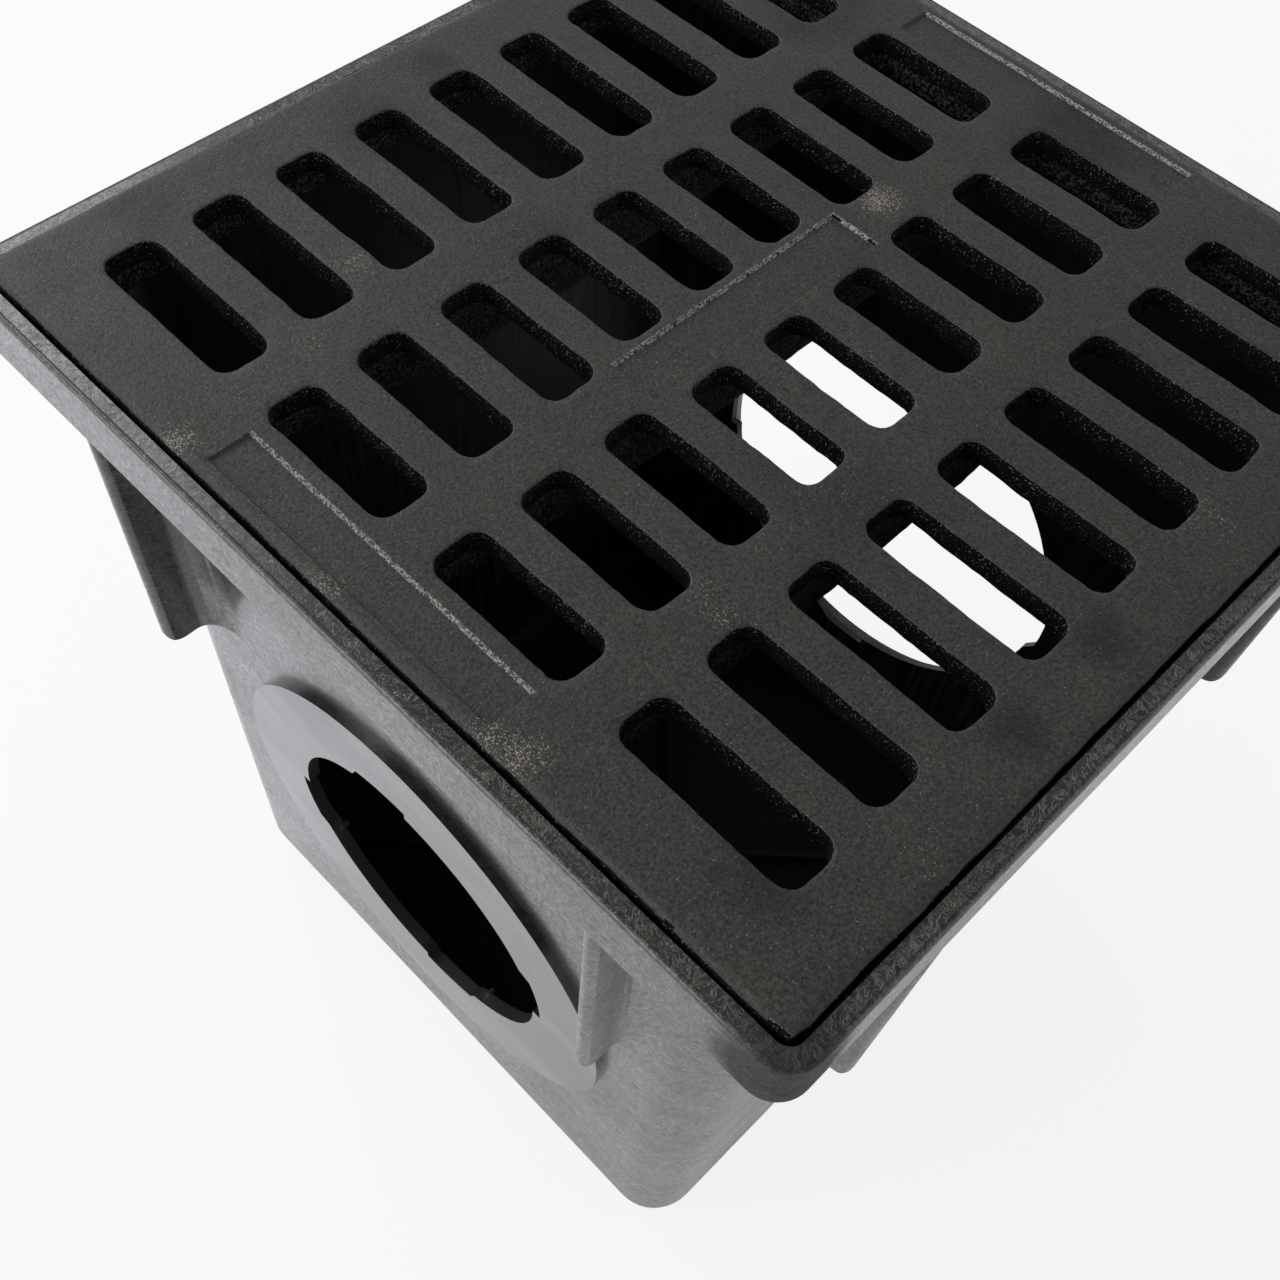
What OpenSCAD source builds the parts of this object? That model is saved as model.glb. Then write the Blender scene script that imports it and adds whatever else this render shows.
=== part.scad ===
/* Surface drain: a square moulded plastic catch basin with a cast iron
   grate resting in its rim. Origin at the middle of the basin's underside,
   +Z up, slots along X. The front wall (-Y) has the outlet for small pipe
   and the back wall (+Y) the one for large pipe. */

/* [Grate] */
// Side of the square grate
grate_side = 302; // [298:1:312]
// Plan radius of the grate's corners
grate_corner = 3; // [2.75:0.25:5]
// Radius rolled over the grate's top edge
grate_edge = 2.5; // [0.5:0.25:2.75]
// Depth of the frame that runs round the grate
frame_depth = 15; // [12:0.5:20]
// How far the grate's edges lean in towards its underside
frame_draft = 0.6; // [0:0.1:1.5]
// Depth of the bars between the slots of one column
bar_depth = 7.5; // [5:0.5:10]

/* [Slots] */
// Slots in each column
slot_rows = 9; // [5:2:9]
// Spacing of the slots in a column
slot_pitch = 29.6; // [24:0.2:30]
// Width of each slot
slot_w = 17.6; // [12:0.2:19]
// Length of the slots in the two inner columns
inner_slot = 48.4; // [36:0.2:49]
// Length of the slots in the two outer columns
outer_slot = 56.2; // [40:0.2:57]
// Radius of the slots' corners
slot_corner = 5; // [2:0.5:5.8]
// Middle rows that are shortened beside the centre panel
short_rows = 3; // [1:2:5]
// How much those inner slots are shortened
short_by = 3.3; // [1:0.1:6]

/* [Webs] */
// Width of each web at the top of the grate
web_w = 16.6; // [12:0.2:17]
// Width of each web at its lowest edge
web_foot = 13.6; // [8:0.2:14]
// Depth of the webs at mid span
web_depth = 30; // [24:1:40]

/* [Rim] */
// Gap between the grate's edge and the rim
fit_gap = 1.3; // [0.5:0.1:2]
// Thickness of the lip round the grate
lip = 5.5; // [3.5:0.5:8]
// Radius rolled over the rim's top outer edge
rim_edge = 1.6; // [0.5:0.1:3]
// Height of the rim's outer skirt
skirt = 20.5; // [16:0.5:26]
// How far the grate stands above the lip
proud = 2.8; // [0:0.2:4]
// Depth of the haunch that props the ledge from below
haunch = 9; // [4:1:14]

/* [Basin body] */
// Height from the underside to the top of the lip
basin_h = 337.2; // [300:1:420]
// Width of the body where it meets the rim
body_top = 273; // [268:1:278]
// Width of the body at its underside
body_foot = 252; // [244:1:260]
// Radius of the body's upright corners at the rim
corner_top = 25; // [16:1:30]
// Radius of the body's upright corners at the foot
corner_foot = 18; // [15:1:22]
// Radius round the edge of the underside
foot_round = 14; // [8:1:14]
// Thickness of the walls
wall = 5; // [4:0.5:6.5]
// Thickness of the floor
floor_t = 6; // [4:0.5:9]

/* [Small outlet] */
// Height of the small outlet's centre above the underside
outlet_z = 140; // [110:1:170]
// Radius of the small outlet between its notches
outlet_r = 60; // [45:0.5:62]
// Depth of the four bayonet notches beyond that radius
notch_deep = 3.5; // [2:0.1:5]
// Angle that each notch takes up
notch_angle = 27; // [20:1:40]
// Radius of the raised round pad
pad_r = 91; // [80:0.5:96]
// How far the pad stands out of the wall
pad_proud = 3; // [1.5:0.1:4]
// Radius of the stop pips inside the notches' ends
pip_r = 1.6; // [1:0.1:2.4]

/* [Large outlet] */
// Height of the large outlet's centre above the underside
large_z = 136.5; // [130:0.5:150]
// Radius of the large outlet between its notches
large_r = 82; // [70:0.5:84]
// Depth of the large outlet's four notches
large_deep = 3.5; // [2:0.1:4.5]
// Angle that each of those notches takes up
large_angle = 18; // [12:1:30]
// Thickness of the flange that the notches are cut in
large_flange = 3.1; // [2.5:0.1:3.9]
// Thickness of the collar round the flange
collar = 4; // [3:0.5:6]

/* [Fins] */
// Distance of each fin from the middle of its wall
fin_x = 98.5; // [94:0.5:104]
// Thickness of the fins
fin_t = 5; // [3.5:0.5:7]
// Height of the fins below the skirt
fin_h = 105; // [60:1:125]
// Radius of the fins' outer bottom corner
fin_nose = 7; // [3:1:10]
// Radius of the fillets between fin and wall
fin_fillet = 11; // [4:1:13]

/* [Floor ribs] */
// Width of the crossed ribs on the floor
rib_w = 3; // [2:0.5:6]
// Height of those ribs
rib_h = 5; // [2:0.5:8]
// Where the ribs cross, to the right of the middle
rib_cross_x = 16; // [-20:1:20]
// Where the ribs cross, behind the middle
rib_cross_y = -2; // [-20:1:20]

/* [Hidden] */
$fn = 96;

grate_top = basin_h + proud;
grate_half = grate_side / 2;
frame_z = grate_top - frame_depth;
pocket_half = grate_half + fit_gap;
pocket_corner = grate_corner + fit_gap;
rim_half = pocket_half + lip;
rim_corner = pocket_corner + lip;
skirt_z = basin_h - skirt;
column_inner = web_w / 2 + inner_slot / 2;
column_outer = web_w * 1.5 + inner_slot + outer_slot / 2;
span_half = (slot_rows - 1) / 2 * slot_pitch + slot_w / 2;
web_drop = web_depth - frame_depth;
web_arc = (span_half * span_half + web_drop * web_drop) / (2 * web_drop);
draft = atan((body_top - body_foot) / 2 / skirt_z);
fin_set_back = 0.2;
fin_sink = 0.15;
fin_reach = (rim_half - body_top / 2) / cos(draft) - fin_set_back;
pad_back = pad_proud - wall;
collar_bore = large_r + large_deep + 1.5;
cut = 1;
corner_steps = 10;
round_steps = 5;

// Half width of the body at a height
function body_half(z) = body_foot / 2 + z * tan(draft);

// Corner radius of the body at a height
function body_corner(z) = corner_foot + (corner_top - corner_foot) * z / skirt_z;

// Points of one level of a lofted form: a square with round corners.
// A level is [height, half width, corner radius].
function level_points(level) = [
    for (corner = [0 : 3], k = [0 : corner_steps])
        let (a = 90 * (corner + k / corner_steps), c = level[1] - level[2],
             sx = (corner == 0 || corner == 3) ? 1 : -1, sy = corner < 2 ? 1 : -1)
        [sx * c + level[2] * cos(a), sy * c + level[2] * sin(a), level[0]]
];

// A solid lofted through square levels with round corners, listed from the bottom up
module loft(levels) {
    n = 4 * (corner_steps + 1);
    last = len(levels) - 1;
    polyhedron(
        points = [for (level = levels) each level_points(level)],
        faces = concat(
            [[for (k = [0 : n - 1]) k]],
            [[for (k = [n - 1 : -1 : 0]) last * n + k]],
            [for (i = [0 : last - 1], k = [0 : n - 1])
                [i * n + k, (i + 1) * n + k, (i + 1) * n + (k + 1) % n, i * n + (k + 1) % n]]
        )
    );
}

// Levels of the rounded foot of the body, taken in by an inset, from a floor height up
function foot_levels(inset, low) = [
    for (i = [0 : round_steps])
        let (a = 90 - 90 * i / round_steps, turn = foot_round - inset,
             z = low + turn * (1 - sin(a)), in = inset + turn * (1 - cos(a)))
        [z, body_half(z) - in, body_corner(z) - in]
];

// Levels of the hollow fillet that props the ledge from below
function haunch_levels() = [
    for (i = [0 : round_steps])
        let (a = 90 * i / round_steps, z = skirt_z - haunch * (1 - sin(a)), out = haunch * (1 - cos(a)))
        [z, body_half(z) + out, body_corner(z) + out]
];

// Levels of an outer edge that rolls over into a flat top
function rolled_levels(half, corner, edge, top) = [
    for (i = [0 : round_steps])
        let (a = 90 * i / round_steps, in = edge * (1 - cos(a)))
        [top - edge * (1 - sin(a)), half - in, corner - in]
];

// Everything outside: rounded foot, drafted walls, haunch, skirt and rolled lip
module outer_form() {
    loft(concat(
        foot_levels(0, 0),
        haunch_levels(),
        [[skirt_z, rim_half, rim_corner]],
        rolled_levels(rim_half, rim_corner, rim_edge, basin_h)
    ));
}

// Everything inside: the drafted hollow, and the pocket that the grate rests in
module inner_form() {
    loft(concat(
        foot_levels(wall, floor_t),
        [
            [frame_z, body_half(frame_z) - wall, body_corner(frame_z) - wall],
            [frame_z, pocket_half, pocket_corner],
            [basin_h + cut, pocket_half, pocket_corner]
        ]
    ));
}

// Moves a shape onto the front wall: x along it, y up it, z out of it
module on_wall(z) {
    translate([0, -body_half(z), z]) rotate([90 + draft, 0, 0]) children();
}

// The shape of an outlet: a circle with four notches that start square and end in a ramp
module outlet_outline(radius, deep, angle) {
    notch_r = radius + deep;
    ramp = 4;
    circle(radius);
    for (k = [0 : 3])
        rotate(90 * k) intersection() {
            circle(notch_r);
            polygon([
                [0, 0], [2 * notch_r, 0],
                2 * notch_r * [cos(angle / 2), sin(angle / 2)],
                notch_r * [cos(angle - ramp), sin(angle - ramp)],
                radius * [cos(angle), sin(angle)]
            ]);
        }
}

// Round pad on the outside of the front wall
module outlet_pad() {
    on_wall(outlet_z) translate([0, 0, -wall / 2]) cylinder(r = pad_r, h = pad_proud + wall / 2);
}

// What the small outlet takes away: the hole, and the hollow behind its pad
module outlet_cut() {
    on_wall(outlet_z) {
        translate([0, 0, -wall - cut]) linear_extrude(wall + pad_proud + 2 * cut)
            outlet_outline(outlet_r, notch_deep, notch_angle);
        translate([0, 0, -wall - cut]) cylinder(r = pad_r - wall, h = pad_proud + cut);
    }
}

// Collar on the outside of the back wall
module large_collar() {
    rotate(180) on_wall(large_z)
        translate([0, 0, -wall / 2]) cylinder(r = collar_bore + collar, h = pad_proud + wall / 2);
}

// What the large outlet takes away: the hole, and the room inside its collar
module large_cut() {
    rotate(180) on_wall(large_z) {
        translate([0, 0, -wall - cut]) linear_extrude(wall + pad_proud + 2 * cut)
            rotate(-large_angle / 2) outlet_outline(large_r, large_deep, large_angle);
        translate([0, 0, large_flange - wall]) cylinder(r = collar_bore, h = wall + pad_proud + cut);
    }
}

// Small stop pips on the inner edge of the hole, just past the end of each notch
module outlet_pips() {
    past_notch = 4;
    on_wall(outlet_z) for (k = [0 : 3])
        rotate(90 * k + notch_angle + past_notch)
            translate([outlet_r + pip_r / 2, 0, pad_back - pip_r])
                cylinder(r = pip_r, h = pip_r + cut, $fn = 24);
}

// Plan section of a fin: a round nosed blade with a fillet on each side of its root
module fin_plan() {
    nose = fin_t / 2;
    translate([-nose, -wall / 2]) square([fin_t, fin_reach - nose + wall / 2]);
    translate([0, fin_reach - nose]) circle(nose);
    difference() {
        translate([-nose - fin_fillet, -wall / 2])
            square([fin_t + 2 * fin_fillet, fin_fillet + wall / 2 - fin_sink]);
        for (s = [-1, 1])
            translate([s * (nose + fin_fillet), fin_fillet - fin_sink]) circle(fin_fillet);
    }
}

// Side view of a fin, from its top down: x out of the wall, y up
module fin_side() {
    low = fin_nose - fin_h;
    translate([-wall, low]) square([fin_reach + wall, fin_h - fin_nose + cut]);
    translate([-wall, -fin_h]) square([fin_reach + wall - fin_nose, fin_h]);
    translate([fin_reach - fin_nose, low]) circle(fin_nose);
    difference() {
        translate([-wall / 2, -fin_h - fin_fillet])
            square([fin_fillet + wall / 2 - fin_sink, fin_fillet + cut]);
        translate([fin_fillet - fin_sink, -fin_h - fin_fillet]) circle(fin_fillet);
    }
}

// One gusset fin in the front wall's own frame
module fin() {
    reach = fin_h + fin_fillet;
    broad = fin_t + 2 * fin_fillet + 2 * cut;
    intersection() {
        translate([0, cut, 0]) rotate([90, 0, 0]) linear_extrude(reach + cut) fin_plan();
        rotate([0, -90, 0]) linear_extrude(broad, center = true) fin_side();
    }
}

// Two crossed ribs that stiffen the floor
module floor_ribs() {
    translate([rib_cross_x, rib_cross_y, 0])
        for (a = [45, -45])
            rotate(a) translate([-body_foot, -rib_w / 2, 0])
                cube([2 * body_foot, rib_w, floor_t + rib_h]);
}

module basin() {
    color("#3a3a3c") {
        difference() {
            union() {
                outer_form();
                outlet_pad();
                large_collar();
                for (side = [0 : 90 : 270], s = [-1, 1])
                    rotate(side) on_wall(skirt_z) translate([s * fin_x, 0, 0]) fin();
            }
            difference() {
                inner_form();
                floor_ribs();
            }
            outlet_cut();
            large_cut();
        }
        outlet_pips();
    }
}

// Outline of one slot
module slot_outline(length) {
    x = length / 2 - slot_corner;
    y = slot_w / 2 - slot_corner;
    square([length, 2 * y], center = true);
    square([2 * x, slot_w], center = true);
    for (sx = [-1, 1], sy = [-1, 1]) translate([sx * x, sy * y]) circle(slot_corner, $fn = 48);
}

// All the slots of the grate
module slots() {
    middle = (slot_rows - 1) / 2;
    for (row = [0 : slot_rows - 1], s = [-1, 1]) {
        short = abs(row - middle) <= (short_rows - 1) / 2 ? short_by : 0;
        translate([s * (column_inner + short / 2), (row - middle) * slot_pitch])
            slot_outline(inner_slot - short);
        translate([s * column_outer, (row - middle) * slot_pitch]) slot_outline(outer_slot);
    }
}

// The grate's block, with a rolled top edge and sides that lean in below
module grate_block() {
    loft(concat(
        [[frame_z, grate_half - frame_draft, grate_corner]],
        rolled_levels(grate_half, grate_corner, grate_edge, grate_top)
    ));
}

// What is hollowed from below between the webs, up to the bars
module grate_hollows() {
    for (s = [-1, 1]) {
        translate([s * column_inner - inner_slot / 2, -span_half, frame_z - cut])
            cube([inner_slot, 2 * span_half, frame_depth - bar_depth + cut]);
        translate([s * column_outer - outer_slot / 2, -span_half, frame_z - cut])
            cube([outer_slot, 2 * span_half, frame_depth - bar_depth + cut]);
    }
}

// One fish bellied web, as far as it hangs below the frame
module web() {
    intersection() {
        rotate([90, 0, 0]) linear_extrude(2 * span_half, center = true)
            polygon([
                [-web_w / 2, frame_z + cut], [web_w / 2, frame_z + cut],
                [web_foot / 2, grate_top - web_depth - cut], [-web_foot / 2, grate_top - web_depth - cut]
            ]);
        translate([0, 0, grate_top - web_depth + web_arc])
            rotate([90, 0, 90]) cylinder(r = web_arc, h = 2 * web_w, center = true, $fn = 360);
    }
}

module grate() {
    color("#45433f") union() {
        difference() {
            grate_block();
            translate([0, 0, frame_z - cut]) linear_extrude(frame_depth + 2 * cut) slots();
            grate_hollows();
        }
        for (x = [-1, 0, 1]) translate([x * (web_w + inner_slot), 0, 0]) web();
    }
}

basin();
grate();
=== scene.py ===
import math

import bmesh
import bpy
import numpy as np
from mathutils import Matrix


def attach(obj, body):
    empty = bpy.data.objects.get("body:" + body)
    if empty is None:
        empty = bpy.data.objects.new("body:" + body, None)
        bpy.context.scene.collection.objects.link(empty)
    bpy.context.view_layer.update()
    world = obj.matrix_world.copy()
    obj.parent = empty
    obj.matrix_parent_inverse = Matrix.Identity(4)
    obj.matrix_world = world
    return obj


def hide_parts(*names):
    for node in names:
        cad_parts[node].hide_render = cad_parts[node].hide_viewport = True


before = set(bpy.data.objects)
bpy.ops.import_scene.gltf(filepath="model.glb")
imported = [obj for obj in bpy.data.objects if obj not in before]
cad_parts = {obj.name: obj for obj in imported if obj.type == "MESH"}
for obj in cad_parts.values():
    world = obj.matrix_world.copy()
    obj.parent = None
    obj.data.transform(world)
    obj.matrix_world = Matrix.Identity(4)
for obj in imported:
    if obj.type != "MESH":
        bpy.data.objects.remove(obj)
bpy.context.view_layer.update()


# Catch basin
# A square sump box moulded in one shot of black structural foam plastic, with a rolled rim, gusset
# fins and notched outlets. Foam moulding leaves pale gas swirls and long flow streaks in its skin.

SMOOTH_ANGLE = math.radians(32)
PAD_HEIGHT = 0.14
PAD_RADIUS = 0.0915
BORE_RADIUS = 0.0645
LARGE_HEIGHT = 0.1365
LARGE_RADIUS = 0.0865
CORNER_FOOT = 0.018
CORNER_GROWS = 0.0221
STRAIGHT_FOOT = 0.108
STRAIGHT_GROWS = 0.0111
CORE_DEPTH = 0.0041
FLOOR_DEPTH = 0.0048
FOOT_TOP = 0.03
LIP_START = -0.0027
LIP_FULL = -0.0022
WALL_FRONT = -0.12
WALL_RIGHT = 0.12
SKIRT_LOW = 0.3167
RIM_TOP = 0.3372
RIM_STRAIGHT = 0.1484
RIM_LINE = 0.0079
SEAM_FOOT = -0.1095
SEAM_LEAN = 0.0285
DARKENED_CORNER = (0.155, -0.155, 0.326)


def linear(hex_colour):
    """An sRGB hex colour as linear RGBA: each channel is taken back through the sRGB curve."""
    channels = np.array([int(hex_colour[i:i + 2], 16) for i in (1, 3, 5)]) / 255
    low = channels / 12.92
    high = ((channels + 0.055) / 1.055) ** 2.4
    return (*np.where(channels <= 0.04045, low, high).tolist(), 1.0)


def node(tree, kind, settings=None, links=None):
    """Adds a shader node. A setting is a socket's value, or else one of the node's own attributes."""
    made = tree.nodes.new("ShaderNode" + kind)
    for name, value in (settings or {}).items():
        if not isinstance(name, int) and name not in made.inputs:
            setattr(made, name, value)
    for name, value in (settings or {}).items():
        if isinstance(name, int) or name in made.inputs:
            made.inputs[name].default_value = value
    for name, source in (links or {}).items():
        tree.links.new(source, made.inputs[name])
    return made


def structural_foam_plastic():
    """Black moulded foam plastic: a dark satin skin crossed by pale hair-like gas swirls and flow streaks,
    over a very fine mould grain. It mirrors a bright floor at a shallow angle, so upright walls look pale."""
    material = bpy.data.materials.new("structural_foam_plastic")
    material.use_nodes = True
    tree = material.node_tree
    tree.nodes.clear()
    place = node(tree, "TexCoord").outputs["Object"]
    # Gas swirls: curly hairs 0.3 mm wide and 2 to 4 mm apart, which are level lines of two warped noises
    warp = node(tree, "TexNoise", {"Scale": 130, "Detail": 2}, {"Vector": place})
    drift = node(tree, "VectorMath", {"operation": "MULTIPLY_ADD", 1: (0.012, 0.012, 0.012)},
                 {0: warp.outputs["Color"], 2: place})
    hairs = []
    for scale, wide in ((240, 0.03), (480, 0.045)):
        field = node(tree, "TexNoise", {"Scale": scale, "Detail": 2, "Roughness": 0.6, "Distortion": 0.8},
                     {"Vector": drift.outputs[0]})
        away = node(tree, "MapRange", {1: 0.5 - wide, 2: 0.5 + wide, 3: -1.0, 4: 1.0}, {0: field.outputs[0]})
        size = node(tree, "Math", {"operation": "ABSOLUTE"}, {0: away.outputs[0]})
        hairs.append(node(tree, "Math", {"operation": "SUBTRACT", 0: 1.0}, {1: size.outputs[0]}))
    hair = node(tree, "Math", {"operation": "MAXIMUM"}, {0: hairs[0].outputs[0], 1: hairs[1].outputs[0]})
    # Flow streaks along the walls: 1.5 mm wide and some 40 mm long
    stretch = node(tree, "Mapping", {"Rotation": (0, 0.2, 0), "Scale": (22, 22, 640)},
                   {"Vector": drift.outputs[0]})
    streak = node(tree, "TexNoise", {"Scale": 1, "Detail": 3, "Roughness": 0.6},
                  {"Vector": stretch.outputs[0]})
    drawn = node(tree, "MapRange", {1: 0.38, 2: 0.66, 3: 0.0, 4: 1.0}, {0: streak.outputs[0]})
    # Broad cloudy patches, 30 to 70 mm across, where the skin froze earlier or later
    broad = node(tree, "Mapping", {"Scale": (15, 15, 30)}, {"Vector": place})
    cloud = node(tree, "TexNoise", {"Scale": 1, "Detail": 2.5, "Distortion": 0.8},
                 {"Vector": broad.outputs[0]})
    patch = node(tree, "MapRange", {1: 0.36, 2: 0.64, 3: 0.0, 4: 1.0}, {0: cloud.outputs[0]})
    # The pad round the front outlet is moulded against polished steel and keeps a plain skin
    split = node(tree, "SeparateXYZ", links={0: place})
    flat = node(tree, "CombineXYZ", links={0: split.outputs[0], 2: split.outputs[2]})
    reach = node(tree, "VectorMath", {"operation": "DISTANCE", 1: (0.0, 0.0, PAD_HEIGHT)},
                 {0: flat.outputs[0]})
    outside = node(tree, "MapRange", {1: PAD_RADIUS - 0.0004, 2: PAD_RADIUS, 3: 0.0, 4: 1.0},
                   {0: reach.outputs["Value"]})
    behind = node(tree, "MapRange", {1: WALL_FRONT - 0.001, 2: WALL_FRONT, 3: 0.0, 4: 1.0},
                  {0: split.outputs[1]})
    plain = node(tree, "Math", {"operation": "MAXIMUM"}, {0: outside.outputs[0], 1: behind.outputs[0]})
    # The rim and its skirt fill last, so the swirls lie thickest there
    high = node(tree, "MapRange", {1: SKIRT_LOW - 0.03, 2: SKIRT_LOW, 3: 0.3, 4: 1.0}, {0: split.outputs[2]})
    much = node(tree, "Math", {"operation": "MULTIPLY"}, {0: high.outputs[0], 1: plain.outputs[0]})
    swirl = node(tree, "Math", {"operation": "MULTIPLY"}, {0: hair.outputs[0], 1: much.outputs[0]})
    pale = node(tree, "Math", {"operation": "MULTIPLY_ADD", 1: 0.3},
                {0: drawn.outputs[0], 2: swirl.outputs[0]})
    skin_tone = node(tree, "Mix", {"data_type": "RGBA", 6: linear("#1c1c1e"), 7: linear("#5a564f")},
                     {0: pale.outputs[0]})
    # In the outlets' bores, where the core of the mould leaves a smooth skin, the colour is painted near
    # black as shade.
    # A point's depth in the wall is the box's corner radius at its height, less its distance from that
    # corner's axis
    size_of = node(tree, "VectorMath", {"operation": "ABSOLUTE"}, {0: place})
    straight = node(tree, "Math", {"operation": "MULTIPLY_ADD", 1: STRAIGHT_GROWS, 2: STRAIGHT_FOOT},
                    {0: split.outputs[2]})
    corner_at = node(tree, "CombineXYZ", {2: 1.0}, {0: straight.outputs[0], 1: straight.outputs[0]})
    past = node(tree, "VectorMath", {"operation": "SUBTRACT"},
                {0: size_of.outputs[0], 1: corner_at.outputs[0]})
    beyond = node(tree, "VectorMath", {"operation": "MAXIMUM", 1: (0.0, 0.0, 0.0)}, {0: past.outputs[0]})
    out = node(tree, "VectorMath", {"operation": "LENGTH"}, {0: beyond.outputs[0]})
    turn = node(tree, "Math", {"operation": "MULTIPLY_ADD", 1: CORNER_GROWS, 2: CORNER_FOOT},
                {0: split.outputs[2]})
    depth = node(tree, "Math", {"operation": "SUBTRACT"}, {0: turn.outputs[0], 1: out.outputs["Value"]})
    in_front = node(tree, "MapRange", {1: BORE_RADIUS - 0.0003, 2: BORE_RADIUS, 3: 1.0, 4: 0.0},
                    {0: reach.outputs["Value"]})
    low_reach = node(tree, "VectorMath", {"operation": "DISTANCE", 1: (0.0, 0.0, LARGE_HEIGHT)},
                     {0: flat.outputs[0]})
    in_large = node(tree, "MapRange", {1: LARGE_RADIUS - 0.0003, 2: LARGE_RADIUS, 3: 1.0, 4: 0.0},
                    {0: low_reach.outputs["Value"]})
    at_back = node(tree, "Math", {"operation": "GREATER_THAN", 1: 0.0}, {0: split.outputs[1]})
    in_back = node(tree, "Math", {"operation": "MULTIPLY"}, {0: in_large.outputs[0], 1: at_back.outputs[0]})
    in_bore = node(tree, "Math", {"operation": "MAXIMUM"}, {0: in_front.outputs[0], 1: in_back.outputs[0]})
    behind_face = node(tree, "MapRange", {1: LIP_START, 2: LIP_FULL, 3: 0.0, 4: 1.0}, {0: depth.outputs[0]})
    above_foot = node(tree, "Math", {"operation": "GREATER_THAN", 1: FOOT_TOP}, {0: split.outputs[2]})
    lip = node(tree, "Math", {"operation": "MULTIPLY"}, {0: in_bore.outputs[0], 1: behind_face.outputs[0]})
    core_side = node(tree, "Math", {"operation": "MULTIPLY"}, {0: lip.outputs[0], 1: above_foot.outputs[0]})
    # The skirt's near corner is darker and duller
    corner = node(tree, "VectorMath", {"operation": "DISTANCE", 1: DARKENED_CORNER}, {0: place})
    darkened_corner = node(tree, "MapRange", {"interpolation_type": "SMOOTHSTEP", 1: 0.012, 2: 0.024, 3: 1.0, 4: 0.0},
                   {0: corner.outputs["Value"]})
    # A hair line where the mould's halves meet, on the right wall just behind the near corner
    seam = node(tree, "Math", {"operation": "MULTIPLY_ADD", 1: SEAM_LEAN, 2: SEAM_FOOT},
                {0: split.outputs[2]})
    off_seam = node(tree, "Math", {"operation": "SUBTRACT"}, {0: split.outputs[1], 1: seam.outputs[0]})
    seam_size = node(tree, "Math", {"operation": "ABSOLUTE"}, {0: off_seam.outputs[0]})
    seam_line = node(tree, "MapRange", {1: 0.0002, 2: 0.0005, 3: 0.55, 4: 1.0}, {0: seam_size.outputs[0]})
    right = node(tree, "MapRange", {1: WALL_RIGHT - 0.001, 2: WALL_RIGHT, 3: 1.0, 4: 0.0},
                 {0: split.outputs[0]})
    seamed = node(tree, "Math", {"operation": "MAXIMUM"}, {0: seam_line.outputs[0], 1: right.outputs[0]})
    # A fine dark line of painted shade ends the flat top of the rim before it rolls over the edge
    rim_past = node(tree, "VectorMath", {"operation": "SUBTRACT", 1: (RIM_STRAIGHT, RIM_STRAIGHT, 1.0)},
                    {0: size_of.outputs[0]})
    rim_out = node(tree, "VectorMath", {"operation": "MAXIMUM", 1: (0.0, 0.0, 0.0)}, {0: rim_past.outputs[0]})
    rim_size = node(tree, "VectorMath", {"operation": "LENGTH"}, {0: rim_out.outputs[0]})
    off_line = node(tree, "Math", {"operation": "SUBTRACT", 1: RIM_LINE}, {0: rim_size.outputs["Value"]})
    line_size = node(tree, "Math", {"operation": "ABSOLUTE"}, {0: off_line.outputs[0]})
    line = node(tree, "MapRange", {1: 0.00015, 2: 0.00045, 3: 1.0, 4: 0.0}, {0: line_size.outputs[0]})
    at_top = node(tree, "MapRange", {1: RIM_TOP - 0.0012, 2: RIM_TOP - 0.0008, 3: 0.0, 4: 1.0},
                  {0: split.outputs[2]})
    lined_rim = node(tree, "Math", {"operation": "MULTIPLY"}, {0: line.outputs[0], 1: at_top.outputs[0]})
    darkened_marks = node(tree, "Math", {"operation": "MAXIMUM"}, {0: lined_rim.outputs[0], 1: darkened_corner.outputs[0]})
    darker = node(tree, "MapRange", {1: 0.0, 2: 1.0, 3: 1.0, 4: 0.5}, {0: darkened_marks.outputs[0]})
    shade = node(tree, "Math", {"operation": "MULTIPLY"}, {0: seamed.outputs[0], 1: darker.outputs[0]})
    lined = node(tree, "VectorMath", {"operation": "SCALE"},
                 {0: skin_tone.outputs[2], "Scale": shade.outputs[0]})
    # Painted shade: the core side inside the bores is coloured near black
    colour = node(tree, "Mix", {"data_type": "RGBA", 7: linear("#0b0b0c")},
                  {0: core_side.outputs[0], 6: lined.outputs[0]})
    dull = node(tree, "MapRange", {1: 0.0, 2: 1.0, 3: 0.36, 4: 0.22}, {0: patch.outputs[0]})
    gloss = node(tree, "Math", {"operation": "MULTIPLY_ADD", 1: -0.1},
                 {0: pale.outputs[0], 2: dull.outputs[0]})
    worn = node(tree, "Math", {"operation": "MULTIPLY_ADD", 1: 0.35},
                {0: darkened_marks.outputs[0], 2: gloss.outputs[0]})
    core_worn = node(tree, "Math", {"operation": "MULTIPLY_ADD", 1: 0.25},
                     {0: core_side.outputs[0], 2: worn.outputs[0]})
    # The glassy outer skin is dappled at 1.5 mm, and gone from the darkened corner, the rim's dark line and
    # the core side
    dulled = node(tree, "Math", {"operation": "MAXIMUM"}, {0: core_side.outputs[0], 1: darkened_marks.outputs[0]})
    glassy = node(tree, "MapRange", {1: 0.0, 2: 1.0, 3: 1.0, 4: 0.0}, {0: dulled.outputs[0]})
    dapple = node(tree, "TexNoise", {"Scale": 620, "Detail": 2, "Roughness": 0.65},
                  {"Vector": drift.outputs[0]})
    dappled = node(tree, "MapRange", {1: 0.36, 2: 0.64, 3: 0.4, 4: 1.1}, {0: dapple.outputs[0]})
    mottled = node(tree, "Mix", {2: 1.0}, {0: plain.outputs[0], 3: dappled.outputs[0]})
    coat = node(tree, "Math", {"operation": "MULTIPLY"}, {0: glassy.outputs[0], 1: mottled.outputs[0]})
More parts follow.
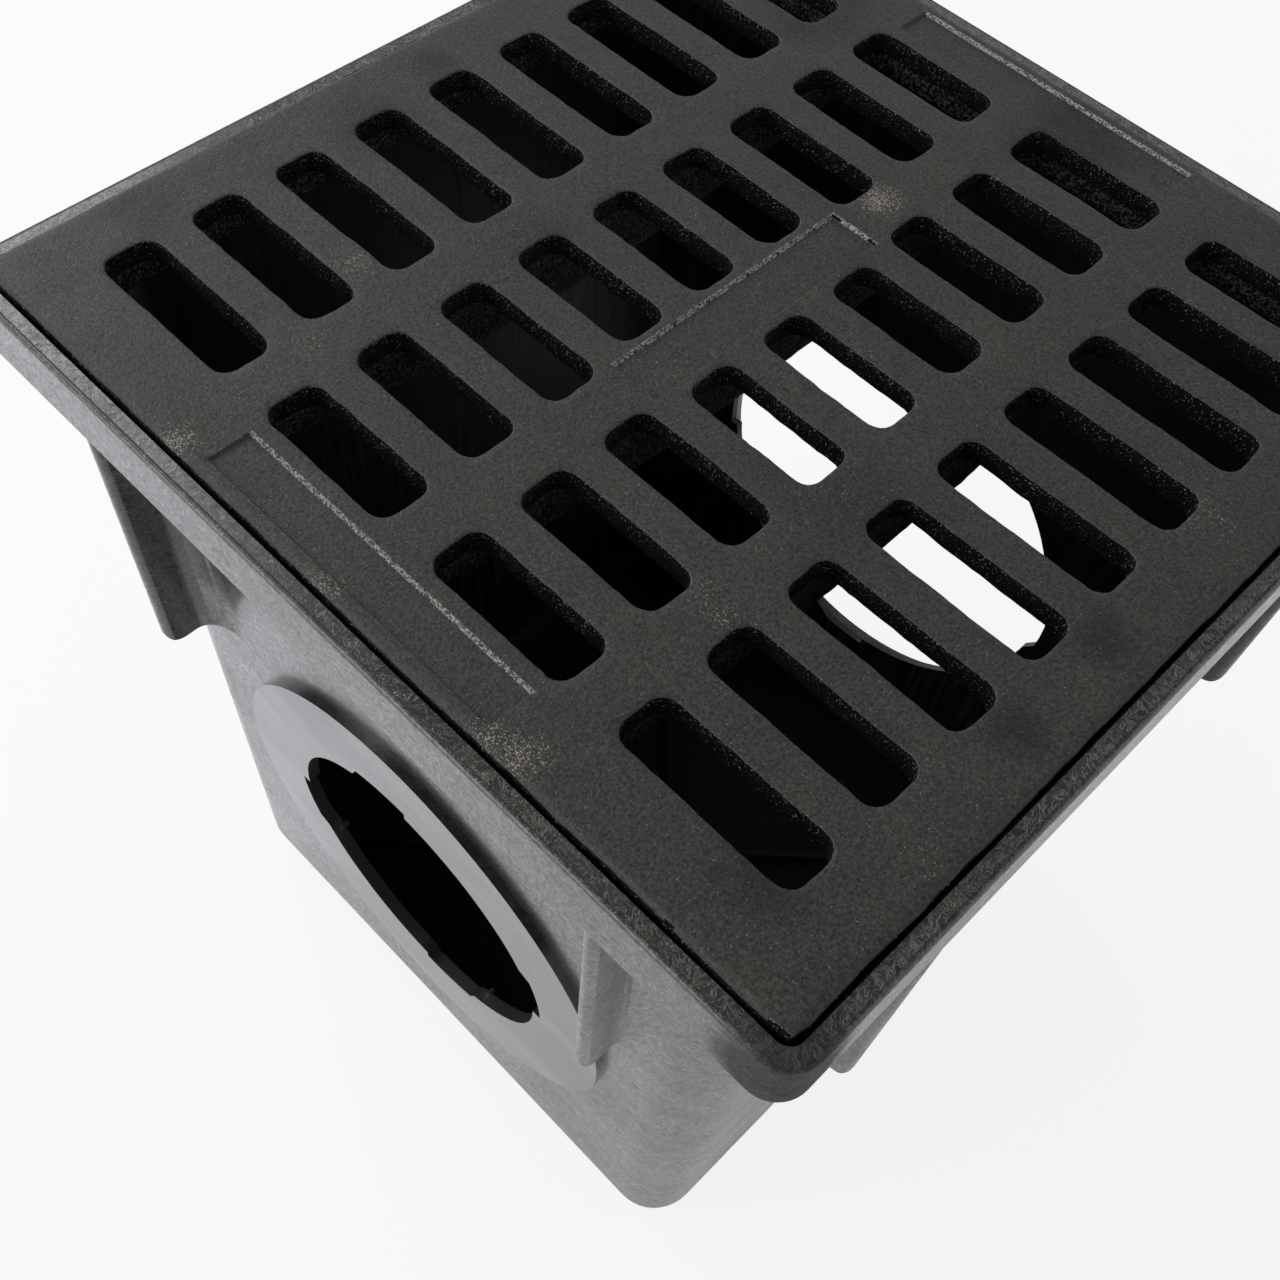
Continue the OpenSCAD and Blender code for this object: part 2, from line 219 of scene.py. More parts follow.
    # Mould grain of about 0.7 mm, drawn a little coarser than real so that it shows
    grain = node(tree, "TexNoise", {"Scale": 1500, "Detail": 2}, {"Vector": place})
    rough = node(tree, "Math", {"operation": "MULTIPLY"}, {0: grain.outputs[0], 1: plain.outputs[0]})
    relief = node(tree, "Bump", {"Strength": 0.22, "Distance": 0.0002}, {"Height": rough.outputs[0]})
    ridge = node(tree, "Bump", {"Strength": 0.5, "Distance": 0.0003},
                 {"Height": swirl.outputs[0], "Normal": relief.outputs[0]})
    skin = node(tree, "BsdfPrincipled", {"IOR": 1.5, "Coat Roughness": 0.2},
                {"Base Color": colour.outputs[2], "Roughness": core_worn.outputs[0],
                 "Coat Weight": coat.outputs[0], "Normal": ridge.outputs[0]})
    node(tree, "OutputMaterial", links={"Surface": skin.outputs[0]})
    return material


def core_side_plastic():
    """The same plastic where the mould's core was drawn out, inside the basin: a matt skin with faint upright
    drag lines, painted near black as shade, for the light comes in only through the slots and outlets."""
    material = bpy.data.materials.new("core_side_plastic")
    material.use_nodes = True
    tree = material.node_tree
    tree.nodes.clear()
    place = node(tree, "TexCoord").outputs["Object"]
    # Drag lines 2 mm wide and some 70 mm tall
    drawn = node(tree, "Mapping", {"Scale": (450, 450, 14)}, {"Vector": place})
    line = node(tree, "TexNoise", {"Scale": 1, "Detail": 3, "Roughness": 0.6}, {"Vector": drawn.outputs[0]})
    mark = node(tree, "MapRange", {1: 0.45, 2: 0.68, 3: 0.0, 4: 1.0}, {0: line.outputs[0]})
    # Painted shade: the skin and its drag lines are coloured near black
    tone = node(tree, "Mix", {"data_type": "RGBA", 6: linear("#09090a"), 7: linear("#262524")},
                {0: mark.outputs[0]})
    dull = node(tree, "MapRange", {1: 0.0, 2: 1.0, 3: 0.5, 4: 0.65}, {0: mark.outputs[0]})
    relief = node(tree, "Bump", {"Strength": 0.3, "Distance": 0.0003}, {"Height": line.outputs[0]})
    skin = node(tree, "BsdfPrincipled", {"IOR": 1.5, "Specular IOR Level": 0.2},
                {"Base Color": tone.outputs[2], "Roughness": dull.outputs[0], "Normal": relief.outputs[0]})
    node(tree, "OutputMaterial", links={"Surface": skin.outputs[0]})
    return material


def give_core_side(mesh):
    """Gives the second material to each face whose corners all lie more than 4 mm in from the outer walls and
    clear of the underside. A corner's depth is the box's corner radius at its height, less its distance from
    that corner's axis."""
    places = np.zeros(3 * len(mesh.vertices))
    mesh.vertices.foreach_get("co", places)
    x, y, z = np.abs(places.reshape(-1, 3).T)
    straight = STRAIGHT_FOOT + STRAIGHT_GROWS * z
    out = np.hypot(np.maximum(x - straight, 0), np.maximum(y - straight, 0))
    inside = (CORNER_FOOT + CORNER_GROWS * z - out > CORE_DEPTH) & (z > FLOOR_DEPTH)
    used = np.zeros(len(mesh.loops), dtype=np.int32)
    mesh.loops.foreach_get("vertex_index", used)
    first = np.zeros(len(mesh.polygons), dtype=np.int32)
    mesh.polygons.foreach_get("loop_start", first)
    mesh.polygons.foreach_set("material_index", np.minimum.reduceat(inside[used].astype(np.int32), first))


def merged_copy(source, name):
    """A copy of a CAD node whose loose triangles are merged, shaded round at its small edges and flat on its
    faces."""
    mesh = source.data.copy()
    mesh.name = name
    work = bmesh.new()
    work.from_mesh(mesh)
    bmesh.ops.remove_doubles(work, verts=work.verts, dist=1e-6)
    bmesh.ops.dissolve_degenerate(work, edges=work.edges, dist=1e-6)
    bmesh.ops.dissolve_limit(work, verts=work.verts, edges=work.edges, angle_limit=math.radians(0.5))
    work.to_mesh(mesh)
    work.free()
    mesh.shade_smooth()
    mesh.set_sharp_from_angle(angle=SMOOTH_ANGLE)
    mesh.materials.clear()
    made = bpy.data.objects.new(name, mesh)
    bpy.context.scene.collection.objects.link(made)
    flat = made.modifiers.new("flat_faces", "WEIGHTED_NORMAL")
    flat.keep_sharp = True
    return made


plastic = structural_foam_plastic()
basin = merged_copy(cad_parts["basin"], "basin_moulding")
basin.data.materials.append(plastic)
basin.data.materials.append(core_side_plastic())
give_core_side(basin.data)
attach(basin, "root")
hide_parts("basin")
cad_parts["basin"].data.materials.clear()
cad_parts["basin"].data.materials.append(plastic)


# Cast iron grate
# One sand casting of grey iron, dip coated black: a slotted plate with a deep edge, carried by three
# fish-bellied webs. It lies loose in the basin's rim. The sand leaves its grain and uneven edges.

GRATE_TOP = 0.34
TOP_DIP = 0.00025
GRATE_HALF = 0.151
GRATE_CORNER = 0.003
GRATE_EDGE = 0.0024
GRATE_LEAN = 0.0006
FRAME_DEPTH = 0.015
BAR_DEPTH = 0.0075
ROW_PITCH = 0.0296
ROWS = 9
SLOT_WIDTH = 0.0176
SLOT_CORNER = 0.005
SLOT_EDGE = 0.0006
INNER_SLOT = 0.0484
OUTER_SLOT = 0.0562
SHORT_BY = 0.0033
WEB_WIDTH = 0.0166
WEB_FOOT = 0.0136
WEB_DEPTH = 0.03
PLATE_HALF = 0.135
SPAN_HALF = 4 * ROW_PITCH + SLOT_WIDTH / 2
ALONG = 26
ACROSS = 12
ROUGH_SEED = 7
PANEL_DEPTH = 0.0009
PANEL_SLOPE = 0.0008
GLINT_DEPTH = 0.0075
GRAIN_DEPTH = 0.0082
HOLLOW_MARGIN = 0.0004
FOOT_CHAMFER = 0.0006
WEB_OVERLAP = 0.0008
WEB_INSET = 0.00012
WEB_SOFT = 0.0018
WEB_REACH = 0.002
SQUARE_CORNER = 1e-9
PANELS = (((-0.0087, -0.046), (0.0087, 0.047)), ((-0.0535, 0.1326), (0.0535, 0.1467)),
          ((-0.0535, -0.1467), (0.0535, -0.1324)))
# Sloping sides of the panels that carry a painted highlight, each as a rectangle in plan
LIT_PANEL_SIDES = (((-0.0535, -0.1332), (0.0535, -0.1324)), ((-0.0087, -0.046), (-0.0079, 0.047)),
          ((-0.0087, 0.0462), (0.0087, 0.047)), ((-0.0535, 0.1459), (0.0535, 0.1467)))
# Middle, radius and strength of each dusty scuff on the top, and middle and radius of each blue black blotch
SCUFFS = ((-0.003, 0.062, 0.011, 1.0), (-0.0635, -0.1485, 0.009, 1.0), (0.055, -0.1485, 0.007, 0.8),
          (-0.067, -0.1026, 0.008, 0.5), (0.064, -0.147, 0.01, 1.0), (-0.0035, -0.1495, 0.01, 0.8),
          (0.13, 0.031, 0.012, 0.5), (-0.085, -0.073, 0.01, 0.5), (0.098, -0.118, 0.014, 0.4),
          (0.06, -0.081, 0.008, 0.5), (0.07, -0.083, 0.007, 0.4))
BLOTCHES = ((-0.128, -0.03, 0.022), (-0.143, -0.105, 0.016), (0.137, -0.02, 0.014), (0.137, -0.055, 0.014),
            (-0.08, 0.118, 0.03), (-0.137, 0.003, 0.014), (0.02, 0.13, 0.03), (0.12, -0.128, 0.022))


def waves(points, longest, shortest, count, seed):
    """A smooth random field between about -1 and 1: the sum of plane waves with seeded directions,
    lengths and phases, taken at each point."""
    draw = np.random.default_rng(seed)
    directions = draw.normal(size=(3, count))
    directions /= np.linalg.norm(directions, axis=0)
    lengths = np.exp(draw.uniform(np.log(shortest), np.log(longest), count))
    phases = draw.uniform(0, 2 * np.pi, count)
    return np.sin(points @ (directions * 2 * np.pi / lengths) + phases).sum(1) / math.sqrt(count)


def rounded_ring(low, high, corner, along, across):
    """Points round a rectangle with round corners, counterclockwise from its lower left. The path is a
    chain of four corner arcs joined by straight lines, cut at the middle of each arc, and each of the
    four parts is divided evenly by its own length."""
    turn = np.radians(np.linspace(0, 90, 25))
    arcs = []
    corners = ((high[0], low[1]), (high[0], high[1]), (low[0], high[1]), (low[0], low[1]))
    for quarter, (x, y) in enumerate(corners):
        centre = (x - corner * np.sign(x - (low[0] + high[0]) / 2),
                  y - corner * np.sign(y - (low[1] + high[1]) / 2))
        angle = turn + np.pi / 2 * (quarter - 1)
        arcs.append(np.c_[centre[0] + corner * np.cos(angle), centre[1] + corner * np.sin(angle)])
    parts = []
    for side in range(4):
        path = np.r_[arcs[side - 1][12:], arcs[side][:13]]
        run = np.r_[0, np.cumsum(np.hypot(*np.diff(path, axis=0).T))]
        steps = along if side % 2 == 0 else across
        wanted = np.linspace(0, run[-1], steps + 1)[:-1]
        parts.append(np.c_[np.interp(wanted, run, path[:, 0]), np.interp(wanted, run, path[:, 1])])
    return np.concatenate(parts)


def ring_faces(stations, around, first=0):
    """Quads between neighbouring rings of points, each ring closed on itself."""
    s, k = np.meshgrid(np.arange(stations - 1), np.arange(around), indexing="ij")
    a, b = s * around + k, s * around + (k + 1) % around
    return np.stack([a, a + around, b + around, b], -1).reshape(-1, 4) + first


class Shell:
    """Gathers grids of points and their quads into one mesh."""

    def __init__(self):
        self.points, self.faces, self.count = [], [], 0

    def add(self, points, faces):
        self.points.append(points)
        self.faces.append(faces + self.count)
        self.count += len(points)


def slot_cell(shell, slot_low, slot_high, cell_low, cell_high, under_low, under_high):
    """One slot with the plate round it: rings run from the middle of the plate's underside in to the slot,
    up its wall, over its soft edge, and out over the top to the edge of its cell."""
    ring = rounded_ring(slot_low, slot_high, SLOT_CORNER, ALONG, ACROSS)
    wide = rounded_ring(slot_low - SLOT_EDGE, slot_high + SLOT_EDGE, SLOT_CORNER + SLOT_EDGE, ALONG, ACROSS)
    cell = rounded_ring(cell_low, cell_high, SQUARE_CORNER, ALONG, ACROSS)
    under = rounded_ring(under_low, under_high, SQUARE_CORNER, ALONG, ACROSS)
    top = GRATE_TOP - TOP_DIP
    rings = [(under, top - BAR_DEPTH), (0.5 * (under + ring), top - BAR_DEPTH)]
    rings += [(ring, top - BAR_DEPTH + (BAR_DEPTH - SLOT_EDGE) * t) for t in np.linspace(0, 1, 5)]
    for angle in np.radians([30, 60, 90]):
        out = 1 - np.cos(angle)
        rings.append((ring + (wide - ring) * out, top - SLOT_EDGE * (1 - np.sin(angle))))
    rings += [(wide + (cell - wide) * t, top) for t in (0.3, 0.65, 1)]
    points = np.concatenate([np.c_[xy, np.full(len(xy), z)] for xy, z in rings])
    shell.add(points, ring_faces(len(rings), len(ring))[:, ::-1])


def plate_and_frame():
    """The slotted plate and the deep frame round it. Each slot brings its own cell of plate, and cells share
    their edges. The frame is a profile carried round the outside: over the top, down and back in below."""
    shell = Shell()
    columns = [(-PLATE_HALF, -WEB_WIDTH - INNER_SLOT), (-WEB_WIDTH - INNER_SLOT, 0),
               (0, WEB_WIDTH + INNER_SLOT), (WEB_WIDTH + INNER_SLOT, PLATE_HALF)]
    inner = WEB_WIDTH / 2
    outer = WEB_WIDTH * 1.5 + INNER_SLOT
    hollow_x = outer + OUTER_SLOT + HOLLOW_MARGIN
    hollow_y = SPAN_HALF + HOLLOW_MARGIN
    for row in range(ROWS):
        y = (row - 4) * ROW_PITCH
        short = SHORT_BY if abs(row - 4) <= 1 else 0
        spans = [(-outer - OUTER_SLOT, -outer), (-inner - INNER_SLOT, -inner - short),
                 (inner + short, inner + INNER_SLOT), (outer, outer + OUTER_SLOT)]
        low = -PLATE_HALF if row == 0 else y - ROW_PITCH / 2
        high = PLATE_HALF if row == ROWS - 1 else y + ROW_PITCH / 2
        for (x0, x1), (c0, c1) in zip(spans, columns):
            slot_low, slot_high = np.array([x0, y - SLOT_WIDTH / 2]), np.array([x1, y + SLOT_WIDTH / 2])
            cell_low, cell_high = np.array([c0, low]), np.array([c1, high])
            limit = np.array([hollow_x, hollow_y])
            slot_cell(shell, slot_low, slot_high, cell_low, cell_high,
                      np.maximum(cell_low, -limit), np.minimum(cell_high, limit))
    around_x = np.concatenate([np.linspace(a, b, ALONG + 1)[:-1] for a, b in columns] + [[PLATE_HALF]])
    rows_y = [-PLATE_HALF] + [(row - 3.5) * ROW_PITCH for row in range(ROWS - 1)] + [PLATE_HALF]
    around_y = np.concatenate([np.linspace(a, b, ACROSS + 1)[:-1] for a, b in zip(rows_y, rows_y[1:])]
                              + [[PLATE_HALF]])

    def square(xs, ys):
        """The ring of points round a rectangle that has these divisions along its sides."""
        return np.concatenate([
            np.c_[xs[:-1], np.full(len(xs) - 1, ys[0])], np.c_[np.full(len(ys) - 1, xs[-1]), ys[:-1]],
            np.c_[xs[:0:-1], np.full(len(xs) - 1, ys[-1])], np.c_[np.full(len(ys) - 1, xs[0]), ys[:0:-1]]])

    inside = square(around_x, around_y)
    under_x = np.concatenate([np.linspace(a, b, ALONG + 1)[:-1] for a, b in
                              [(max(a, -hollow_x), min(b, hollow_x)) for a, b in columns]] + [[hollow_x]])
    under_rows = np.clip(rows_y, -hollow_y, hollow_y)
    under_y = np.concatenate([np.linspace(a, b, ACROSS + 1)[:-1] for a, b in zip(under_rows, under_rows[1:])]
                             + [[hollow_y]])
    hollow = square(under_x, under_y)

    def outline(half, corner):
        """The inside ring pushed out to a square with round corners, each point straight out from its side,
        apart from those near a corner, which spread round it."""
        reach = 0.012
        sides = []
        flat = PLATE_HALF - reach
        arc = corner * np.pi / 4
        length = (half - corner) - flat + arc
        for side in range(4):
            along = around_x if side % 2 == 0 else around_y
            t = along if side < 2 else along[::-1]
            t = t[:-1]
            run = flat + (np.abs(t) - flat) * length / reach
            beyond = np.maximum(run - (half - corner), 0) / corner
            turned = np.where(beyond > 0, half - corner + corner * np.sin(beyond), run)
            u = np.where(np.abs(t) <= flat, np.abs(t), turned)
            v = half - np.where(np.abs(t) <= flat, 0, corner * (1 - np.cos(beyond)))
            u = u * np.sign(t)
            sides.append({0: np.c_[u, -v], 1: np.c_[v, u], 2: np.c_[u, v], 3: np.c_[-v, u]}[side])
        return np.concatenate(sides)

    top = GRATE_TOP - TOP_DIP
    floor = GRATE_TOP - FRAME_DEPTH
    flat_edge = outline(GRATE_HALF - GRATE_EDGE, GRATE_CORNER - GRATE_EDGE)
    rings = [(inside + (flat_edge - inside) * t, top) for t in (0, 0.25, 0.5, 0.75, 1)]
    for angle in np.radians([20, 45, 70, 90]):
        roll = GRATE_EDGE * np.sin(angle)
        rings.append((outline(GRATE_HALF - GRATE_EDGE + roll, GRATE_CORNER - GRATE_EDGE + roll),
                      top - GRATE_EDGE * (1 - np.cos(angle))))
    for t in (0.33, 0.66, 0.95):
        rings.append((outline(GRATE_HALF - GRATE_LEAN * t, GRATE_CORNER),
                      top - GRATE_EDGE + (floor - top + GRATE_EDGE) * t))
    rings.append((outline(GRATE_HALF - GRATE_LEAN - FOOT_CHAMFER, GRATE_CORNER), floor))
    lowest = rings[-1][0]
    rings.append((hollow + (lowest - hollow) * 0.06, floor))
    ceiling = top - BAR_DEPTH
    rings += [(hollow, floor + FOOT_CHAMFER), (hollow, (floor + ceiling) / 2), (hollow, ceiling)]
    points = np.concatenate([np.c_[xy, np.full(len(xy), z)] for xy, z in rings])
    shell.add(points, ring_faces(len(rings), len(inside))[:, ::-1])
    return np.concatenate(shell.points), np.concatenate(shell.faces)


def web(x):
    """One fish-bellied web: a tapered section with soft lower edges, carried along Y while its depth follows
    an arc, and closed by a fan at each end inside the frame."""
    ys = np.linspace(-SPAN_HALF - WEB_REACH, SPAN_HALF + WEB_REACH, 161)
    drop = WEB_DEPTH - FRAME_DEPTH
    radius = (SPAN_HALF ** 2 + drop ** 2) / (2 * drop)
    depth = WEB_DEPTH - radius + np.sqrt(radius ** 2 - np.minimum(np.abs(ys), SPAN_HALF) ** 2)
    start = BAR_DEPTH - WEB_OVERLAP
    lean = (WEB_WIDTH - WEB_FOOT) / 2 / WEB_DEPTH
    section = []
    for t in (0, 0.02, 0.2, 0.4, 0.6, 0.8, 1):
        section.append(("flank", t))
    for angle in np.radians([30, 60, 90]):
        section.append(("round", angle))
    half = []
    for kind, value in section:
        if kind == "flank":
            down = start + (depth - WEB_SOFT - start) * value
            wide = WEB_WIDTH / 2 - WEB_INSET - lean * (down - start)
        else:
            flank = WEB_WIDTH / 2 - WEB_INSET - lean * (depth - WEB_SOFT - start)
            down = depth - WEB_SOFT * (1 - np.sin(value))
            wide = flank - WEB_SOFT * (1 - np.cos(value))
        half.append((np.broadcast_to(wide, ys.shape), down))
    profile = [(w, d) for w, d in half] + [(-w, d) for w, d in half[::-1]]
    around = len(profile)
    grid = np.stack([np.stack([x + w, ys, GRATE_TOP - TOP_DIP - d], -1) for w, d in profile], 1)
    points = grid.reshape(-1, 3)
    quads = ring_faces(len(ys), around)
    caps = []
    for ring, turned in ((0, False), (len(ys) - 1, True)):
        for k in range(around // 2 - 1):
            face = [ring * around + i for i in (k, k + 1, around - 2 - k, around - 1 - k)]
            caps.append(face[::-1] if turned else face)
    return points, np.concatenate([quads, np.array(caps)])


def roughen(points):
    """Sand casting's unevenness: the plan outline wanders by a few tenths of a millimetre, slowly and finely,
    and the skin rises and falls by less."""
    moved = points.copy()
    for axis, seed in ((0, ROUGH_SEED), (1, ROUGH_SEED + 1)):
        moved[:, axis] += 0.00016 * waves(points, 0.05, 0.014, 30, seed)
        moved[:, axis] += 0.0001 * waves(points, 0.008, 0.0035, 40, seed + 10)
    rise = 0.00009 * waves(points, 0.09, 0.02, 30, ROUGH_SEED + 2)
    rise += 0.00002 * waves(points, 0.009, 0.004, 40, ROUGH_SEED + 3)
    moved[:, 2] = np.minimum(points[:, 2] + rise, GRATE_TOP)
    return moved


def sink_panel(work, low, high, depth, draft):
    """Sinks a rectangle of the top skin. The skin is cut along the rectangle and along a smaller one inside
    it, and what lies within the smaller one goes down, so that the wall between them slopes."""
    low, high = np.array(low), np.array(high)
    for inset in (0, draft):
        for axis in (0, 1):
            for edge, sign in ((low, 1), (high, -1)):
                at = edge[axis] + sign * inset
                near = [f for f in work.faces if f.normal.z > 0.5 and all(
                    low[i] - 0.004 < f.calc_center_median()[i] < high[i] + 0.004 for i in (0, 1))]
                region = set(near)
                region |= {e for f in near for e in f.edges} | {v for f in near for v in f.verts}
                point, normal = [0, 0, 0], [0, 0, 0]
                point[axis], normal[axis] = at, 1
                bmesh.ops.bisect_plane(work, geom=list(region), dist=1e-6, plane_co=point, plane_no=normal)
    for v in work.verts:
        if v.co.z > GRATE_TOP - 0.002 and all(
                low[i] + draft - 2e-6 < v.co[i] < high[i] - draft + 2e-6 for i in (0, 1)):
            v.co.z -= depth


def near_spots(tree, place, spots):
    """The strongest of several round spots at each point. A spot has its full strength in its middle and
    fades to none at its edge."""
    total = None
    for x, y, radius, strength in spots:
        reach = node(tree, "VectorMath", {"operation": "DISTANCE", 1: (x, y, GRATE_TOP)}, {0: place})
        spot = node(tree, "MapRange", {1: 0.0, 2: radius, 3: strength, 4: 0.0}, {0: reach.outputs["Value"]})
        if total is None:
            total = spot
        else:
            total = node(tree, "Math", {"operation": "MAXIMUM"}, {0: total.outputs[0], 1: spot.outputs[0]})
    return total


def coated_cast_iron():
    """Sand cast grey iron under a thin black dip coating: matt dark grey with sand grain, pale specks of
    grit, dusty scuffs and bluish blotches, and a painted highlight on the sunk panels' sides that face the
    camera."""
    material = bpy.data.materials.new("coated_cast_iron")
    material.use_nodes = True
    tree = material.node_tree
    tree.nodes.clear()
    place = node(tree, "TexCoord").outputs["Object"]
    # Sand grain, 0.9 mm across, drawn a little coarser than the real grit so that it shows
    grain = node(tree, "TexNoise", {"Scale": 1100, "Detail": 3, "Roughness": 0.7}, {"Vector": place})
    mottle = node(tree, "TexNoise", {"Scale": 60, "Detail": 3, "Roughness": 0.6}, {"Vector": place})
    cloud = node(tree, "TexNoise", {"Scale": 17, "Detail": 3, "Distortion": 0.5}, {"Vector": place})
    tone = node(tree, "Mix", {"data_type": "RGBA", 6: linear("#2e2d2d"), 7: linear("#413f3a")},
                {0: mottle.outputs[0]})
    # Blue black blotches, where the coating pooled
    blotch = near_spots(tree, place, [(*spot, 1.0) for spot in BLOTCHES])
    uneven = node(tree, "Math", {"operation": "MULTIPLY_ADD", 1: 1.6, 2: -0.8}, {0: cloud.outputs[0]})
    pooled = node(tree, "Math", {"operation": "ADD"}, {0: blotch.outputs[0], 1: uneven.outputs[0]})
    cool = node(tree, "MapRange", {1: 0.1, 2: 0.7, 3: 0.0, 4: 0.8}, {0: pooled.outputs[0]})
    blue = node(tree, "Mix", {"data_type": "RGBA", 7: linear("#1f2025")},
                {0: cool.outputs[0], 6: tone.outputs[2]})
    fine = node(tree, "MapRange", {1: 0.3, 2: 0.75, 3: 0.25, 4: 2.0}, {0: grain.outputs[0]})
    skin = node(tree, "VectorMath", {"operation": "SCALE"}, {0: blue.outputs[2], "Scale": fine.outputs[0]})
    # Grit: specks half a millimetre across, a few to each square centimetre, and crowded in the scuffs
    speck = node(tree, "TexNoise", {"Scale": 2100, "Detail": 1}, {"Vector": place})
    patch = node(tree, "TexNoise", {"Scale": 38, "Detail": 3}, {"Vector": place})
    scuff = near_spots(tree, place, SCUFFS)
    often = node(tree, "Math", {"operation": "MULTIPLY_ADD", 1: 0.2, 2: -0.1}, {0: patch.outputs[0]})
    worn = node(tree, "Math", {"operation": "MULTIPLY_ADD", 1: 0.25},
                {0: scuff.outputs[0], 2: often.outputs[0]})
    chance = node(tree, "Math", {"operation": "ADD"}, {0: speck.outputs[0], 1: worn.outputs[0]})
    grit = node(tree, "MapRange", {1: 0.715, 2: 0.79, 3: 0.0, 4: 0.8}, {0: chance.outputs[0]})
    gritty = node(tree, "Mix", {"data_type": "RGBA", 7: linear("#9c978c")},
                  {0: grit.outputs[0], 6: skin.outputs[0]})
    # Painted highlight: the panels' sloping sides that face the camera are speckled bright
    panel_highlight = None
    for (x0, y0), (x1, y1) in LIT_PANEL_SIDES:
        middle = ((x0 + x1) / 2, (y0 + y1) / 2, 0.0)
        offset = node(tree, "VectorMath", {"operation": "SUBTRACT", 1: middle}, {0: place})
        size = node(tree, "VectorMath", {"operation": "ABSOLUTE"}, {0: offset.outputs[0]})
        sides = node(tree, "SeparateXYZ", links={0: size.outputs[0]})
        half = ((x1 - x0) / 2, (y1 - y0) / 2)
        masks = [node(tree, "MapRange", {1: h, 2: h + 0.0003, 3: 1.0, 4: 0.0}, {0: sides.outputs[i]})
                 for i, h in enumerate(half)]
        both = node(tree, "Math", {"operation": "MULTIPLY"}, {0: masks[0].outputs[0], 1: masks[1].outputs[0]})
        if panel_highlight is None:
            panel_highlight = both
        else:
            panel_highlight = node(tree, "Math", {"operation": "MAXIMUM"}, {0: panel_highlight.outputs[0], 1: both.outputs[0]})
    glint = node(tree, "TexNoise", {"Scale": 1700, "Detail": 2}, {"Vector": place})
    highlight_specks = node(tree, "MapRange", {1: 0.42, 2: 0.6, 3: 0.0, 4: 0.9}, {0: glint.outputs[0]})
    speckled_highlight = node(tree, "Math", {"operation": "MULTIPLY"}, {0: panel_highlight.outputs[0], 1: highlight_specks.outputs[0]})
    final = node(tree, "Mix", {"data_type": "RGBA", 7: linear("#a9a9a6")},
                 {0: speckled_highlight.outputs[0], 6: gritty.outputs[2]})
    matt = node(tree, "MapRange", {1: 0.3, 2: 0.7, 3: 0.46, 4: 0.62}, {0: mottle.outputs[0]})
    relief = node(tree, "Bump", {"Strength": 0.9, "Distance": 0.0003}, {"Height": grain.outputs[0]})
    iron = node(tree, "BsdfPrincipled", {"IOR": 1.5, "Specular IOR Level": 0.35},
                {"Base Color": final.outputs[2], "Roughness": matt.outputs[0], "Normal": relief.outputs[0]})
    node(tree, "OutputMaterial", links={"Surface": iron.outputs[0]})
    return material


def shaded_sides_cast_iron():
    """The same casting's upright sides and underside: dry and dull, painted near black as shade along the top
    7 mm of the slots, with painted glints there, and sandy grain on the webs below."""
    material = bpy.data.materials.new("shaded_sides_cast_iron")
    material.use_nodes = True
    tree = material.node_tree
    tree.nodes.clear()
    place = node(tree, "TexCoord").outputs["Object"]
    height = node(tree, "SeparateXYZ", links={0: place})
    # Painted glints half a millimetre across, fewer further down
    glint = node(tree, "TexNoise", {"Scale": 1700, "Detail": 2}, {"Vector": place})
    lower = node(tree, "MapRange", {1: GRATE_TOP, 2: GRATE_TOP - GLINT_DEPTH, 3: 0.0, 4: -0.05},
                 {0: height.outputs[2]})
    sparser = node(tree, "Math", {"operation": "ADD"}, {0: glint.outputs[0], 1: lower.outputs[0]})
    bright = node(tree, "MapRange", {1: 0.61, 2: 0.69, 3: 0.0, 4: 1.0}, {0: sparser.outputs[0]})
    band = node(tree, "Mix", {"data_type": "RGBA", 6: linear("#09090a"), 7: linear("#858582")},
                {0: bright.outputs[0]})
    grain = node(tree, "TexNoise", {"Scale": 1000, "Detail": 4, "Roughness": 0.7}, {"Vector": place})
    sandy = node(tree, "MapRange", {1: 0.48, 2: 0.62, 3: 0.0, 4: 1.0}, {0: grain.outputs[0]})
    flank = node(tree, "Mix", {"data_type": "RGBA", 6: linear("#0f0f10"), 7: linear("#646361")},
                 {0: sandy.outputs[0]})
    deep = node(tree, "MapRange", {1: GRATE_TOP - GLINT_DEPTH, 2: GRATE_TOP - GRAIN_DEPTH, 3: 0.0, 4: 1.0},
                {0: height.outputs[2]})
    colour = node(tree, "Mix", {"data_type": "RGBA"},
                  {0: deep.outputs[0], 6: band.outputs[2], 7: flank.outputs[2]})
    relief = node(tree, "Bump", {"Strength": 0.7, "Distance": 0.0003}, {"Height": grain.outputs[0]})
    iron = node(tree, "BsdfPrincipled", {"IOR": 1.5, "Specular IOR Level": 0.1, "Roughness": 0.75},
                {"Base Color": colour.outputs[2], "Normal": relief.outputs[0]})
    node(tree, "OutputMaterial", links={"Surface": iron.outputs[0]})
    return material


